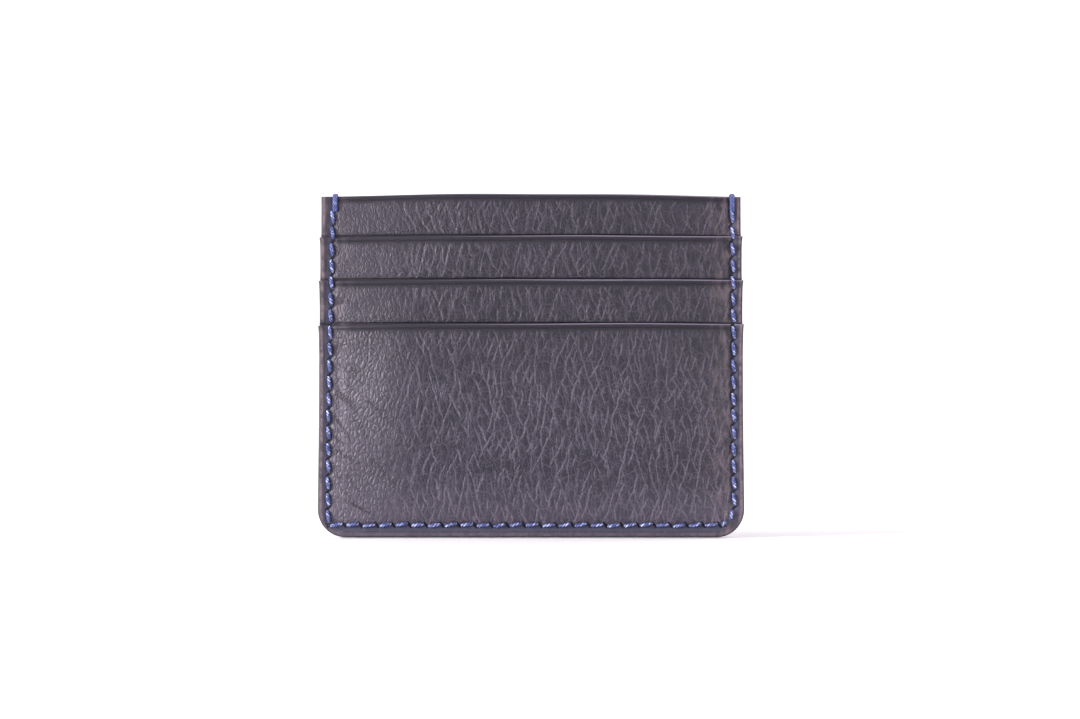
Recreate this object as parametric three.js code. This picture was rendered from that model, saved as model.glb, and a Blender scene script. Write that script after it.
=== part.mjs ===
// Leather card holder: two halves sewn back to back round the sides and the bottom.
// Each half is a lined body panel that carries three card slots: two T-shaped pockets and a
// full lower pocket, stacked so that their mouths step down the face. Between the two halves
// is an open centre pocket. Millimetres, +Z up, the front faces -Y, the origin is the middle
// of the bottom edge.

import * as THREE from 'three';

// ---- driving dimensions ------------------------------------------------------------------

const WIDTH = 100;
const HEIGHT = 80.5;
const CORNER_RADIUS = 6.6;        // the two bottom corners; the top corners are square

const TOP_MOUTH = 70.6;           // heights of the three slot mouths
const MIDDLE_MOUTH = 60.3;
const LOWER_MOUTH = 49.9;
const BAR_HEIGHT = 14.2;          // the T's cross-bar, which reaches the side seams
const STEM_HALF_WIDTH = 43;       // the T's stem, a little wider than half an 85.6 mm card

const BODY_LEATHER = 0.7;         // thicknesses
const POCKET_LEATHER = 0.45;      // T pockets are skived thin
const LOWER_LEATHER = 0.75;
const LINING_CLOTH = 0.2;

const CARD_SLOT = 0.8;            // clear depth of a card slot, for a 0.76 mm card
const GLUE_LINE = 0.05;           // between layers where they are sewn together
const CENTRE_GAPE = 2.15;         // half the centre pocket's opening at its mouth
const CENTRE_BELLY = 0.6;         // half the opening at the height of the lower pocket's mouth
const CENTRE_REST = 0.15;         // and half of what stays open below REST_TOP
const CENTRE_SEWN = 0.02;
const REST_TOP = 40;

const SEWN_EDGE = 46.2;           // layers lie flat on each other from here to the side edge
const GAPE_HALF_WIDTH = 38;       // the centre pocket is fully open within this half width
const SEWN_STRIP = 3.2;           // sewn height at the foot of every pocket
const SLOT_RAMP = 4.6;            // height over which a slot opens above its sewn foot

const STITCH_INSET = 2.7;         // seam line, from the side and bottom edges
const THREAD_RADIUS = 0.4;
const SEAM_THREAD_RADIUS = 0.22;  // finer thread at the feet of the T pockets
const THREAD_REST = 0.1;          // clearance between a thread and the leather below it
const THREAD_SIDES = 6;

// ---- materials ---------------------------------------------------------------------------

function finish(color, roughness) {
  return new THREE.MeshStandardMaterial({ color, roughness, metalness: 0 });
}

const LEATHER = finish(0x57536a, 0.55);
const CLOTH = finish(0x2b2d42, 0.9);
const THREAD = finish(0x35457c, 0.7);

// ---- layers, from the centre pocket outwards ---------------------------------------------

function pocket(name, mouth, thickness, isT) {
  const foot = mouth - LOWER_MOUTH;
  return { name, mouth, foot, thickness, isT, isPocket: true, bar: mouth - BAR_HEIGHT };
}

const LAYERS = [
  { name: 'lining', mouth: HEIGHT, foot: 0, thickness: LINING_CLOTH },
  { name: 'body_panel', mouth: HEIGHT, foot: 0, thickness: BODY_LEATHER },
  pocket('top_pocket', TOP_MOUTH, POCKET_LEATHER, true),
  pocket('middle_pocket', MIDDLE_MOUTH, POCKET_LEATHER, true),
  pocket('lower_pocket', LOWER_MOUTH, LOWER_LEATHER, false),
];
const T_POCKETS = LAYERS.filter((layer) => layer.isT);
const POCKETS = LAYERS.filter((layer) => layer.isPocket);

// ---- the shared lattice ------------------------------------------------------------------
// Every layer is cut from one lattice of columns and rows, so neighbouring layers fold along
// the same lines and never cross.

const CORNER_COLUMNS = [47.6, 48.9, 49.7];

function mirrored(values) {
  return [...values.map((value) => -value).reverse(), 0, ...values];
}

const COLUMNS = mirrored([GAPE_HALF_WIDTH, STEM_HALF_WIDTH, SEWN_EDGE, ...CORNER_COLUMNS, WIDTH / 2]);

function latticeRows() {
  const rows = new Set([REST_TOP, HEIGHT]);
  for (const layer of POCKETS) {
    rows.add(layer.foot);
    rows.add(layer.foot + SEWN_STRIP);
    rows.add(layer.foot + SEWN_STRIP + SLOT_RAMP);
    rows.add(layer.mouth);
    if (layer.isT) rows.add(layer.bar);
  }
  return [...rows].sort((a, b) => a - b);
}

const ROWS = latticeRows();
const CORNER_TOP = SEWN_STRIP + SLOT_RAMP;

function bottomEdge(x) {
  const beyond = Math.abs(x) - (WIDTH / 2 - CORNER_RADIUS);
  if (beyond <= 0) return 0;
  return CORNER_RADIUS - Math.sqrt(Math.max(0, CORNER_RADIUS ** 2 - beyond ** 2));
}

// Rows near the bottom are squeezed upwards where the rounded corner lifts the edge.
function rowHeight(x, row) {
  if (row >= CORNER_TOP) return row;
  const low = bottomEdge(x);
  return low + (CORNER_TOP - low) * (row / CORNER_TOP);
}

// ---- how far each layer stands from the mid-plane ----------------------------------------

function clamp01(value) {
  return Math.min(1, Math.max(0, value));
}

function ramp(value, from, to) {
  return clamp01((value - from) / (to - from));
}

function centreHalfGap(x, z) {
  const across = ramp(Math.abs(x), SEWN_EDGE, GAPE_HALF_WIDTH);
  const foot = CENTRE_SEWN + (CENTRE_REST - CENTRE_SEWN) * ramp(z, SEWN_STRIP, CORNER_TOP);
  const belly = (CENTRE_BELLY - CENTRE_REST) * ramp(z, REST_TOP, LOWER_MOUTH);
  const mouth = (CENTRE_GAPE - CENTRE_BELLY) * ramp(z, LOWER_MOUTH, MIDDLE_MOUTH);
  return CENTRE_SEWN + (foot + belly + mouth - CENTRE_SEWN) * across;
}

function slotGap(layer, x, z) {
  const across = ramp(Math.abs(x), SEWN_EDGE, STEM_HALF_WIDTH);
  const above = layer.foot + SEWN_STRIP;
  const up = ramp(z, above, above + SLOT_RAMP);
  return GLUE_LINE + (CARD_SLOT - GLUE_LINE) * Math.min(across, up);
}

function covers(layer, x, z) {
  const slack = 1e-6;
  if (z > layer.mouth + slack || z < layer.foot - slack) return false;
  return !layer.isT || z >= layer.bar - slack || Math.abs(x) <= STEM_HALF_WIDTH + slack;
}

// Inner and outer distance from the mid-plane of every layer that is present at (x, z).
function stackAt(x, z) {
  const found = {};
  let depth = centreHalfGap(x, z);
  for (const layer of LAYERS) {
    if (!covers(layer, x, z)) continue;
    if (layer.isPocket) depth += slotGap(layer, x, z);
    if (layer.name === 'body_panel') depth += CENTRE_SEWN;
    found[layer.name] = [depth, depth + layer.thickness];
    depth += layer.thickness;
  }
  found.outside = depth;
  return found;
}

// ---- sheet solids ------------------------------------------------------------------------

// A closed solid from the lattice cells that a layer covers. side is -1 for the front half
// and 1 for the back half.
function sheetGeometry(layer, side) {
  const positions = [];
  const indices = [];
  const numbered = new Map();

  function vertex(column, row, face) {
    const key = `${column},${row},${face}`;
    if (!numbered.has(key)) {
      const x = COLUMNS[column];
      const depth = stackAt(x, ROWS[row])[layer.name][face];
      numbered.set(key, positions.length / 3);
      positions.push(x, side * depth, rowHeight(x, ROWS[row]));
    }
    return numbered.get(key);
  }

  function quad(a, b, c, d) {
    if (side < 0) indices.push(a, b, c, a, c, d);
    else indices.push(a, c, b, a, d, c);
  }

  function present(column, row) {
    if (column < 0 || row < 0 || column >= COLUMNS.length - 1 || row >= ROWS.length - 1) return false;
    const x = (COLUMNS[column] + COLUMNS[column + 1]) / 2;
    return covers(layer, x, (ROWS[row] + ROWS[row + 1]) / 2);
  }

  function wall(c0, r0, c1, r1) {
    quad(vertex(c0, r0, 1), vertex(c0, r0, 0), vertex(c1, r1, 0), vertex(c1, r1, 1));
  }

  for (let c = 0; c < COLUMNS.length - 1; c += 1) {
    for (let r = 0; r < ROWS.length - 1; r += 1) {
      if (!present(c, r)) continue;
      const outer = [[c, r], [c + 1, r], [c + 1, r + 1], [c, r + 1]];
      const inner = [[c, r], [c, r + 1], [c + 1, r + 1], [c + 1, r]];
      quad(...outer.map(([column, row]) => vertex(column, row, 1)));
      quad(...inner.map(([column, row]) => vertex(column, row, 0)));
      if (!present(c, r - 1)) wall(c, r, c + 1, r);
      if (!present(c, r + 1)) wall(c + 1, r + 1, c, r + 1);
      if (!present(c - 1, r)) wall(c, r + 1, c, r);
      if (!present(c + 1, r)) wall(c + 1, r, c + 1, r + 1);
    }
  }

  const geometry = new THREE.BufferGeometry();
  geometry.setAttribute('position', new THREE.Float32BufferAttribute(positions, 3));
  geometry.setIndex(indices);
  geometry.computeVertexNormals();
  return geometry;
}

// ---- threads -----------------------------------------------------------------------------

// A run of straight lengths: the extrusion gets one section at each of its points.
class ThreadRun extends THREE.Curve {
  constructor(points) {
    super();
    this.points = points;
  }

  getPoint(t) {
    return this.points[Math.round(t * (this.points.length - 1))].clone();
  }

  getPointAt(u) {
    return this.getPoint(u);
  }

  getTangentAt(u) {
    const last = this.points.length - 1;
    const i = Math.round(u * last);
    const before = this.points[Math.max(0, i - 1)];
    return this.points[Math.min(last, i + 1)].clone().sub(before).normalize();
  }
}

function threadGeometry(points, radius) {
  const section = new THREE.Shape();
  for (let i = 0; i < THREAD_SIDES; i += 1) {
    const angle = (i / THREAD_SIDES) * 2 * Math.PI;
    const place = [radius * Math.cos(angle), radius * Math.sin(angle)];
    if (i === 0) section.moveTo(...place);
    else section.lineTo(...place);
  }
  const extrudePath = new ThreadRun(points);
  return new THREE.ExtrudeGeometry(section, { steps: points.length - 1, bevelEnabled: false, extrudePath });
}

// Heights up the side seam where the thread climbs or drops from one layer to the next, with
// the highest leather within reach of the thread there.
function sideSeamProfile() {
  const x = WIDTH / 2 - STITCH_INSET;
  const over = 0.6;
  const down = 2;
  const stand = THREAD_RADIUS + THREAD_REST;
  const profile = [[CORNER_RADIUS + 1, stackAt(x, CORNER_TOP).outside + stand]];
  for (const row of ROWS.filter((height) => height >= REST_TOP && height < HEIGHT)) {
    const depth = stackAt(x, row).outside + stand;
    const isMouth = POCKETS.some((layer) => layer.mouth === row);
    profile.push([isMouth ? row + over : row - 0.3, depth]);
    if (isMouth) profile.push([row + down, stackAt(x, row + down).outside + stand]);
  }
  profile.push([HEIGHT, stackAt(x, HEIGHT).outside + stand]);
  return profile;
}

// The U-shaped seam on one face, from the top left corner round to the top right one.
function seamFace(side) {
  const x = WIDTH / 2 - STITCH_INSET;
  const turn = CORNER_RADIUS - STITCH_INSET;
  const centre = WIDTH / 2 - CORNER_RADIUS;
  const lowDepth = stackAt(0, 0).outside + THREAD_RADIUS + THREAD_REST;
  const left = sideSeamProfile().reverse().map(([z, depth]) => new THREE.Vector3(-x, side * depth, z));
  const corner = [];
  for (let i = 0; i <= 4; i += 1) {
    const angle = Math.PI + (i / 4) * (Math.PI / 2);
    const cx = -centre + turn * Math.cos(angle);
    const cz = CORNER_RADIUS + turn * Math.sin(angle);
    corner.push(new THREE.Vector3(cx, side * lowDepth, cz));
  }
  const half = [...left, ...corner];
  const other = half.map((point) => new THREE.Vector3(-point.x, point.y, point.z)).reverse();
  return [...half, ...other];
}

// From one face to the other, bending round both corners of the top edge.
function overTheTop(x, from) {
  const stand = THREAD_RADIUS + THREAD_REST;
  const depth = stackAt(x, HEIGHT).outside;
  const bend = [Math.PI / 4, Math.PI / 2].map((angle) => [
    depth + stand * Math.cos(angle),
    HEIGHT + stand * Math.sin(angle),
  ]);
  const first = bend.map(([y, z]) => new THREE.Vector3(x, from * y, z));
  const second = bend.reverse().map(([y, z]) => new THREE.Vector3(x, -from * y, z));
  return [...first, ...second];
}

// One saddle-stitched thread: it starts at the back of the bottom edge, goes up the back,
// over the top corner, round the whole front, over the other corner and down again.
function perimeterThreadPoints() {
  const endGap = 0.3;
  const start = (WIDTH / 2 - CORNER_RADIUS) * 0.5;
  const front = seamFace(-1);
  const back = seamFace(1);
  const half = back.length / 2;
  const upLeft = back.slice(0, half).reverse();
  const downRight = back.slice(half).reverse();
  const lowDepth = upLeft[0].y;
  const foot = (x) => new THREE.Vector3(x, lowDepth, STITCH_INSET);
  const edge = WIDTH / 2 - STITCH_INSET;
  return [
    foot(start - endGap / 2), ...upLeft, ...overTheTop(-edge, 1), ...front,
    ...overTheTop(edge, -1), ...downRight, foot(start + endGap / 2),
  ];
}

// The hidden seam that closes the foot of a T pocket and stops the card.
function footSeamPoints(layer, side) {
  const reach = STEM_HALF_WIDTH - STITCH_INSET;
  const z = layer.foot + SEWN_STRIP / 2;
  return [-reach, -GAPE_HALF_WIDTH, GAPE_HALF_WIDTH, reach].map((x) => {
    const leather = stackAt(x, layer.foot)[layer.name][1];
    return new THREE.Vector3(x, side * (leather + SEAM_THREAD_RADIUS + THREAD_REST), z);
  });
}

// ---- assembly ----------------------------------------------------------------------------

function named(name, geometry, material) {
  const mesh = new THREE.Mesh(geometry, material);
  mesh.name = name;
  return mesh;
}

function half(label, side) {
  const group = new THREE.Group();
  for (const layer of LAYERS) {
    const material = layer.name === 'lining' ? CLOTH : LEATHER;
    group.add(named(`${label}_${layer.name}`, sheetGeometry(layer, side), material));
  }
  for (const layer of T_POCKETS) {
    const seam = threadGeometry(footSeamPoints(layer, side), SEAM_THREAD_RADIUS);
    group.add(named(`${label}_${layer.name}_foot_seam`, seam, THREAD));
  }
  return group;
}

const cardHolder = new THREE.Group();
cardHolder.add(half('front', -1));
cardHolder.add(half('back', 1));
cardHolder.add(named('perimeter_thread', threadGeometry(perimeterThreadPoints(), THREAD_RADIUS), THREAD));

export default cardHolder;
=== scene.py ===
"""Looks of the leather card holder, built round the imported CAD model.

Each half is a stack of sheets (lining, body panel, two T pockets, lower pocket). One function,
stack_depths, says how far every sheet stands from the mid-plane, so neighbouring sheets never
cross. Lengths in the functions are millimetres, and meshes are written in metres.
"""

import math
import random

import bpy
import numpy as np
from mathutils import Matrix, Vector


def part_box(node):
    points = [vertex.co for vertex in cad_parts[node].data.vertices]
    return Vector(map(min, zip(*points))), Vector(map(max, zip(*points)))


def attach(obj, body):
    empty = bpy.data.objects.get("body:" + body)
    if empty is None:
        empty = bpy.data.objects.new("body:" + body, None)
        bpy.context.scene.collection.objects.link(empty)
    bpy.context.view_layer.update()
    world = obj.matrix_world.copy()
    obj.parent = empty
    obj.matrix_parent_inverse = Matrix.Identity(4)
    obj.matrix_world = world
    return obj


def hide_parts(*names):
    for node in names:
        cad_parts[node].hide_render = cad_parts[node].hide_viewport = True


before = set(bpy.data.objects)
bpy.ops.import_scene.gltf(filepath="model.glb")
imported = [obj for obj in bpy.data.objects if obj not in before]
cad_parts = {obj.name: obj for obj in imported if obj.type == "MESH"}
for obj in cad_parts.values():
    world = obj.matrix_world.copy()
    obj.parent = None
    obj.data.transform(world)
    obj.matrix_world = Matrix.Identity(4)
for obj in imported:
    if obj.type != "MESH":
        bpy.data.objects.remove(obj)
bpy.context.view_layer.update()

MM = 0.001


# ---- sizes in mm ----

def box_mm(node):
    """Lowest and highest corner of a CAD piece."""
    return [[value / MM for value in corner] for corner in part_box(node)]


HALF_WIDTH, _, HEIGHT = box_mm("front_body_panel")[1]
TOP_MOUTH = box_mm("front_top_pocket")[1][2]
MIDDLE_MOUTH = box_mm("front_middle_pocket")[1][2]
LOWER_MOUTH = box_mm("front_lower_pocket")[1][2]
TOP_FOOT = box_mm("front_top_pocket")[0][2]
MIDDLE_FOOT = box_mm("front_middle_pocket")[0][2]

# The outline, and the T pockets: a bar at the mouth and a narrower stem below it.
CORNER_RADIUS = 6.6
BAR_HEIGHT = 14.2
STEM_HALF_WIDTH = 43.0

# Thickness of each sheet, and how the stem of a T is pared towards its side edges.
BODY_LEATHER = 0.7
POCKET_LEATHER = 0.45
LOWER_LEATHER = 0.75
LINING_CLOTH = 0.2
PARED_SHARE = 0.78
PARED_WIDTH = 13.0
THINNEST = 0.12

# Gaps between the sheets. Those of the centre pocket are half gaps, from the mid-plane.
CARD_SLOT = 0.8
GLUE_LINE = 0.03
SLOT_OPENS_OVER = 11.0
LIP_PINCH = 0.62
LIP_REACH = 7.0
CENTRE_GAPE = 2.15
CENTRE_REST = 0.15
CENTRE_RISE = 0.45
CENTRE_SEWN = 0.02

# Where the seams hold the sheets shut.
SEWN_EDGE = 46.6
PILLOW_EDGE = 24.0
SEWN_STRIP = 2.9

# The seam: its height along the bottom, its top hole, its stitches and its slits.
SEAM_Z = 2.9
TOP_HOLE = HEIGHT - 3.2
CORNER_IN = 3.4
STITCH_PITCH = 3.85
THREAD_RADIUS = 0.48
HOLE_DROP = 0.09
SLIT_HALF_LENGTH = 0.62
SLIT_HALF_WIDTH = 0.3
OFF_SEAM = 3.0

# How far a mouth sinks from its middle to its ends: the body panel's, and a pocket's.
TOP_BOW = 0.42
POCKET_BOW = 0.12

# Mesh steps. Rows below CORNER_TOP are squeezed into the rounded corners.
CORNER_TOP = 7.8
BAND_STEP = 0.36
LOWER_STEP = 0.43
HIDDEN_STEP = 1.1
LINING_STEP = 0.8


# ---- small numeric helpers ----

def smooth(value, low, high):
    """0 at low, 1 at high, with a soft start and end."""
    t = np.clip((value - low) / (high - low), 0.0, 1.0)
    return t * t * (3.0 - 2.0 * t)


def wave_noise(x, z, seed, length):
    """Slow random undulation from a few crossed waves, between about -1 and 1."""
    rng = random.Random(seed)
    total = np.zeros_like(x)
    for _ in range(7):
        angle = rng.uniform(0, math.pi)
        stretch = rng.uniform(0.6, 1.7) * length
        phase = rng.uniform(0, 2 * math.pi)
        total += np.sin(2 * math.pi * (x * math.cos(angle) + z * math.sin(angle)) / stretch + phase)
    return total / 4.0


def turned(x, z, angle):
    """The same offset measured along a direction at this angle, and across it."""
    along = x * math.cos(angle) + z * math.sin(angle)
    across = -x * math.sin(angle) + z * math.cos(angle)
    return along, across


# ---- the sheets ----

class Layer:
    """One sheet. Its sides stand in by trim, and its mouth slopes by tilt at either end."""

    def __init__(self, name, mouth, foot, thickness, trim, tilt=0.0, is_t=False):
        self.name = name
        self.mouth = mouth
        self.foot = foot
        self.bar = mouth - BAR_HEIGHT
        self.thickness = thickness
        self.trim = trim
        self.tilt = tilt
        self.is_t = is_t
        self.is_pocket = name.endswith("pocket")


# From the mid-plane outwards.
LAYERS = [
    Layer("lining", HEIGHT, 0.0, LINING_CLOTH, 0.75),
    Layer("body_panel", HEIGHT, 0.0, BODY_LEATHER, 0.6),
    Layer("top_pocket", TOP_MOUTH, TOP_FOOT, POCKET_LEATHER, 0.45, 0.16, is_t=True),
    Layer("middle_pocket", MIDDLE_MOUTH, MIDDLE_FOOT, POCKET_LEATHER, 0.35, 0.1, is_t=True),
    Layer("lower_pocket", LOWER_MOUTH, 0.0, LOWER_LEATHER, 0.28, 0.22),
]


def t_presence(layer, x, z):
    """1 where a T pocket lies, falling to 0 a little way outside it."""
    reach = 2.6
    foot_reach = 9.5
    to_bar = np.maximum(layer.bar - z, 0.0)
    below_foot = np.maximum(layer.foot - z, 0.0) * reach / foot_reach
    to_stem = np.hypot(np.maximum(np.abs(x) - STEM_HALF_WIDTH, 0.0), below_foot)
    return 1.0 - smooth(np.minimum(to_bar, to_stem), 0.0, reach)


def slot_gap(layer, x, z):
    """Depth of the card slot behind a pocket: shut in the seams, open inside them."""
    towards_seam = np.clip((np.abs(x) - PILLOW_EDGE) / (SEWN_EDGE - PILLOW_EDGE), 0.0, 1.0)
    across = 1.0 - towards_seam ** 2.2
    start = layer.foot + SEWN_STRIP
    up = smooth(z, start, start + SLOT_OPENS_OVER)
    lip = 1.0 - LIP_PINCH * smooth(z, layer.mouth - LIP_REACH, layer.mouth)
    return GLUE_LINE + (CARD_SLOT - GLUE_LINE) * across * up * lip


def centre_half_gap(x, z):
    """Half the depth of the centre pocket: nearly shut low down, and gaping at its mouth."""
    across = 1.0 - smooth(np.abs(x), 12.0, SEWN_EDGE)
    low = CENTRE_REST * smooth(z, SEWN_STRIP, 10.0)
    middle = CENTRE_RISE * smooth(z, 38.0, 52.0)
    top = (CENTRE_GAPE - CENTRE_REST - CENTRE_RISE) * smooth(z, 50.0, 74.0)
    return CENTRE_SEWN + (low + (middle + top)) * across


def skived(layer, x, z):
    """Thickness of a sheet. The stem of a T is pared thin towards its side edges."""
    if not layer.is_t:
        return layer.thickness
    pared = PARED_SHARE * smooth(np.abs(x), STEM_HALF_WIDTH - PARED_WIDTH, STEM_HALF_WIDTH)
    return layer.thickness * (1.0 - pared * smooth(layer.bar - z, -0.5, 4.0))


def stack_depths(x, z):
    """Inner and outer distance of every sheet from the mid-plane, by name."""
    found = {}
    depth = centre_half_gap(x, z)
    for layer in LAYERS:
        presence = t_presence(layer, x, z) if layer.is_t else 1.0
        thickness = skived(layer, x, z)
        if layer.is_pocket:
            depth = depth + slot_gap(layer, x, z) * presence
        elif layer.name == "body_panel":
            depth = depth + CENTRE_SEWN
        found[layer.name] = (depth, depth + thickness)
        depth = depth + thickness * presence
    return found


# ---- stitch places ----

def seam_x(side, z):
    """The side seams: the left one drifts in a little towards the top."""
    if side < 0:
        return -(HALF_WIDTH - 2.55 - 0.8 * smooth(np.asarray(z, float), 20.0, 80.0))
    return HALF_WIDTH - 2.5 - 0.1 * smooth(np.asarray(z, float), 40.0, 80.0)


SIDE_STITCHES = int(round((TOP_HOLE - SEAM_Z) / STITCH_PITCH))
SIDE_STEP = (TOP_HOLE - SEAM_Z) / SIDE_STITCHES


def side_holes(side):
    """Awl holes down one side, from the top hole to just above the bottom seam."""
    heights = [TOP_HOLE - i * SIDE_STEP for i in range(SIDE_STITCHES)]
    return [(float(seam_x(side, z)), z) for z in heights]


def bottom_holes():
    """Awl holes along the bottom, which waver a little and end short of the right corner."""
    start = float(seam_x(-1, SEAM_Z))
    end = float(seam_x(1, SEAM_Z)) - CORNER_IN
    count = int(round((end - start) / STITCH_PITCH))
    places = range(count + 1)
    return [(start + (end - start) * i / count, SEAM_Z + 0.15 * math.sin(i * 1.7)) for i in places]


LEFT_HOLES = side_holes(-1)
BOTTOM_HOLES = bottom_holes()
CORNER_HOLE = (float(seam_x(1, SEAM_Z)) - CORNER_IN + 2.1, SEAM_Z + 0.75)
RIGHT_HOLES = [CORNER_HOLE] + side_holes(1)[::-1]


def hole_mask(x, z):
    """1 in the middle of each slit: slits lean one way on the sides, the other on the bottom."""
    mask = np.zeros_like(x)
    for holes, lean in ((LEFT_HOLES, 45), (BOTTOM_HOLES, -45), (RIGHT_HOLES, 45)):
        for hole_x, hole_z in holes:
            near = (np.abs(x - hole_x) < 1.6) & (np.abs(z - hole_z) < 1.6)
            along, across = turned(x[near] - hole_x, z[near] - hole_z, math.radians(lean))
            slit = (along / SLIT_HALF_LENGTH) ** 2 + (across / SLIT_HALF_WIDTH) ** 2
            mask[near] = np.maximum(mask[near], np.exp(-slit))
    return mask


def seam_place(x, z):
    """Place along the nearest seam, counted in stitches from a hole, and across it in mm."""
    bottom_step = (BOTTOM_HOLES[-1][0] - BOTTOM_HOLES[0][0]) / (len(BOTTOM_HOLES) - 1)
    x_left, x_right = seam_x(-1, z), seam_x(1, z)
    near_left, near_right = np.abs(x - x_left), np.abs(x - x_right)
    near_low = np.abs(z - SEAM_Z)
    on_left = (near_left < 1.5) & (near_left < near_low)
    on_right = (near_right < 1.5) & ~on_left & (z > SEAM_Z + 2.2)
    on_low = (near_low < 1.5) & ~on_left & ~on_right & (x < BOTTOM_HOLES[-1][0] + 1.0)
    along = np.full(x.shape, 0.5)
    across = np.full(x.shape, OFF_SEAM)
    along = np.where(on_low, (x - BOTTOM_HOLES[0][0]) / bottom_step, along)
    across = np.where(on_low, z - SEAM_Z, across)
    along = np.where(on_left, (TOP_HOLE - z) / SIDE_STEP, along)
    across = np.where(on_left, x - x_left, across)
    along = np.where(on_right, (z - TOP_HOLE) / SIDE_STEP, along)
    across = np.where(on_right, x_right - x, across)
    return along, across


def seam_distance(x, z):
    """Distance to the stitch line."""
    left = np.where(z > SEAM_Z, np.abs(x - seam_x(-1, z)), 9.0)
    right = np.where(z > SEAM_Z + 2, np.abs(x - seam_x(1, z)), 9.0)
    inside = (x > seam_x(-1, z) - 0.2) & (x < seam_x(1, z) - 2.0)
    low = np.where(inside, np.abs(z - SEAM_Z), 9.0)
    return np.minimum(np.minimum(left, right), low)


# ---- drawn creases ----

def crease_strokes(seed, count, zone):
    """Curved creases that run from the left seam into the panel and down. Zone: x, then z."""
    rng = random.Random(seed)
    left, right, low, high = zone
    strokes = []
    for number in range(count):
        x = left + rng.random() ** 2.2 * (right - left)
        z = low + (high - low) * (number + rng.random()) / count
        angle = math.radians(rng.uniform(-50, -22))
        length = rng.uniform(4.0, 11.0)
        strokes.append((x, z, angle, length, rng.uniform(-0.03, 0.01), rng.uniform(0.45, 1.0)))
    return strokes


def crease_depth(x, z, strokes):
    """Up to 1 in the drawn creases and 0 beside them."""
    depth = np.zeros_like(x)
    for start_x, start_z, angle, length, bend, power in strokes:
        near = (np.abs(x - start_x - length / 2) < length) & (np.abs(z - start_z) < length + 1)
        along, across = turned(x[near] - start_x, z[near] - start_z, angle)
        across = across - bend * along ** 2
        ends = smooth(along, 0.0, 1.2) * (1.0 - smooth(along, length * 0.35, length))
        depth[near] = np.maximum(depth[near], power * ends * np.exp(-((across / 0.23) ** 2)))
    return depth


# ---- grain ----

class CreaseFamily:
    """Creases at one slant, in degrees from upright, a spacing in mm apart.

    left and right are how strong they are towards either side of the holder.
    """

    def __init__(self, slant, spacing, left, right):
        self.slant = math.radians(slant)
        self.spacing = spacing
        self.left = left
        self.right = right


FAMILIES = [
    CreaseFamily(19.0, 2.2, 1.0, 0.75),
    CreaseFamily(-18.0, 2.05, 0.9, 1.0),
    CreaseFamily(1.0, 2.9, 0.65, 0.75),
]


def scatter(a, b, seed):
    """A repeatable random value from 0 to 1 for each pair of whole numbers."""
    value = np.sin(a * 127.1 + b * 311.7 + seed * 74.7) * 43758.5453
    return value - np.floor(value)


def crease_fields(x, z, family, seed):
    """A family's creases over a sheet, as three arrays.

    The number is whole on a crease, the pitch is the mm from one to the next, and the power is
    how strong the nearest one is.
    """
    bend = 1.0 * wave_noise(x, z, seed, 30.0) + 0.36 * wave_noise(x, z, seed + 1, 6.0)
    bend = bend + 0.1 * wave_noise(x, z, seed + 2, 2.8)
    number = (x * math.cos(family.slant) + z * math.sin(family.slant) + bend) / family.spacing
    number = number + 0.17 * np.sin(number * 2.39 + seed) + 0.05 * np.sin(number * 4.59 + 2 * seed)
    across = np.gradient(number, x[0], axis=1)
    upwards = np.gradient(number, z[:, x.shape[1] // 2], axis=0)
    slope = np.hypot(across, upwards)
    pitch = 1.0 / np.clip(slope, 0.6 / family.spacing, 1.8 / family.spacing)
    nearest = np.round(number)
    along = z / 2.5 + 5.0 * scatter(nearest, 7.0, seed)
    start = np.floor(along)
    t = smooth(along - start, 0.0, 1.0)
    chance = scatter(nearest, start, seed) * (1.0 - t) + scatter(nearest, start + 1.0, seed) * t
    side = family.left + (family.right - family.left) * smooth(x, -35.0, 30.0)
    return number, pitch, smooth(chance, 0.22, 0.66) * side


def crease_valley(fields, half_width):
    """0 between the creases and up to 1 on a strong one."""
    valley = 0.0
    for number, pitch, power in fields:
        distance = np.abs(number - np.round(number)) * pitch
        valley = np.maximum(valley, power * (1.0 - smooth(distance, 0.0, half_width)))
    return valley


# ---- meshes ----

def spaced(low, high, step, fine_low=(), fine_high=()):
    """Places from low to high at about step, with finer offsets listed from either end."""
    start = low + (fine_low[-1] if fine_low else 0.0)
    stop = high - (fine_high[-1] if fine_high else 0.0)
    count = max(1, int(round((stop - start) / step)))
    middle = [start + (stop - start) * i / count for i in range(count + 1)]
    below = [low + f for f in fine_low[:-1]]
    above = [high - f for f in reversed(fine_high[:-1])]
    return below + middle + above


# Distances in mm from an edge and from a mouth at which the mesh has a line.
EDGE_FINE = (0.0, 0.03, 0.08, 0.15, 0.24, 0.34, 0.46, 0.6)
MOUTH_FINE = (0.0, 0.03, 0.08, 0.15, 0.24, 0.36, 0.5, 0.62, 0.72, 0.8, 0.87, 0.93, 0.99, 1.05,
              1.12, 1.2, 1.3, 1.42, 1.56, 1.7, 1.9)


def column_places(step):
    """Columns across the width, finer at the side edges and along the side seams."""
    inner = HALF_WIDTH - CORNER_RADIUS
    arc = [inner + CORNER_RADIUS * math.sin(math.radians(a)) for a in np.arange(2.6, 90.0, 2.6)]
    fine = [HALF_WIDTH - f for f in EDGE_FINE]
    seam = list(np.arange(45.9, 48.6, 0.16))
    edge = sorted(set(round(v, 3) for v in arc + fine + seam if v > inner + 0.1))
    kept = [edge[0]]
    for value in edge[1:]:
        if value - kept[-1] > 0.028:
            kept.append(value)
    kept[-1] = HALF_WIDTH
    middle = spaced(-inner, inner, step)
    return np.array([-v for v in reversed(kept)] + middle + kept)


def bottom_edge(x):
    """Height of the bottom edge, which rises at the rounded corners."""
    beyond = np.clip(np.abs(x) - (HALF_WIDTH - CORNER_RADIUS), 0.0, CORNER_RADIUS)
    return CORNER_RADIUS - np.sqrt(np.maximum(CORNER_RADIUS ** 2 - beyond ** 2, 0.0))


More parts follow.
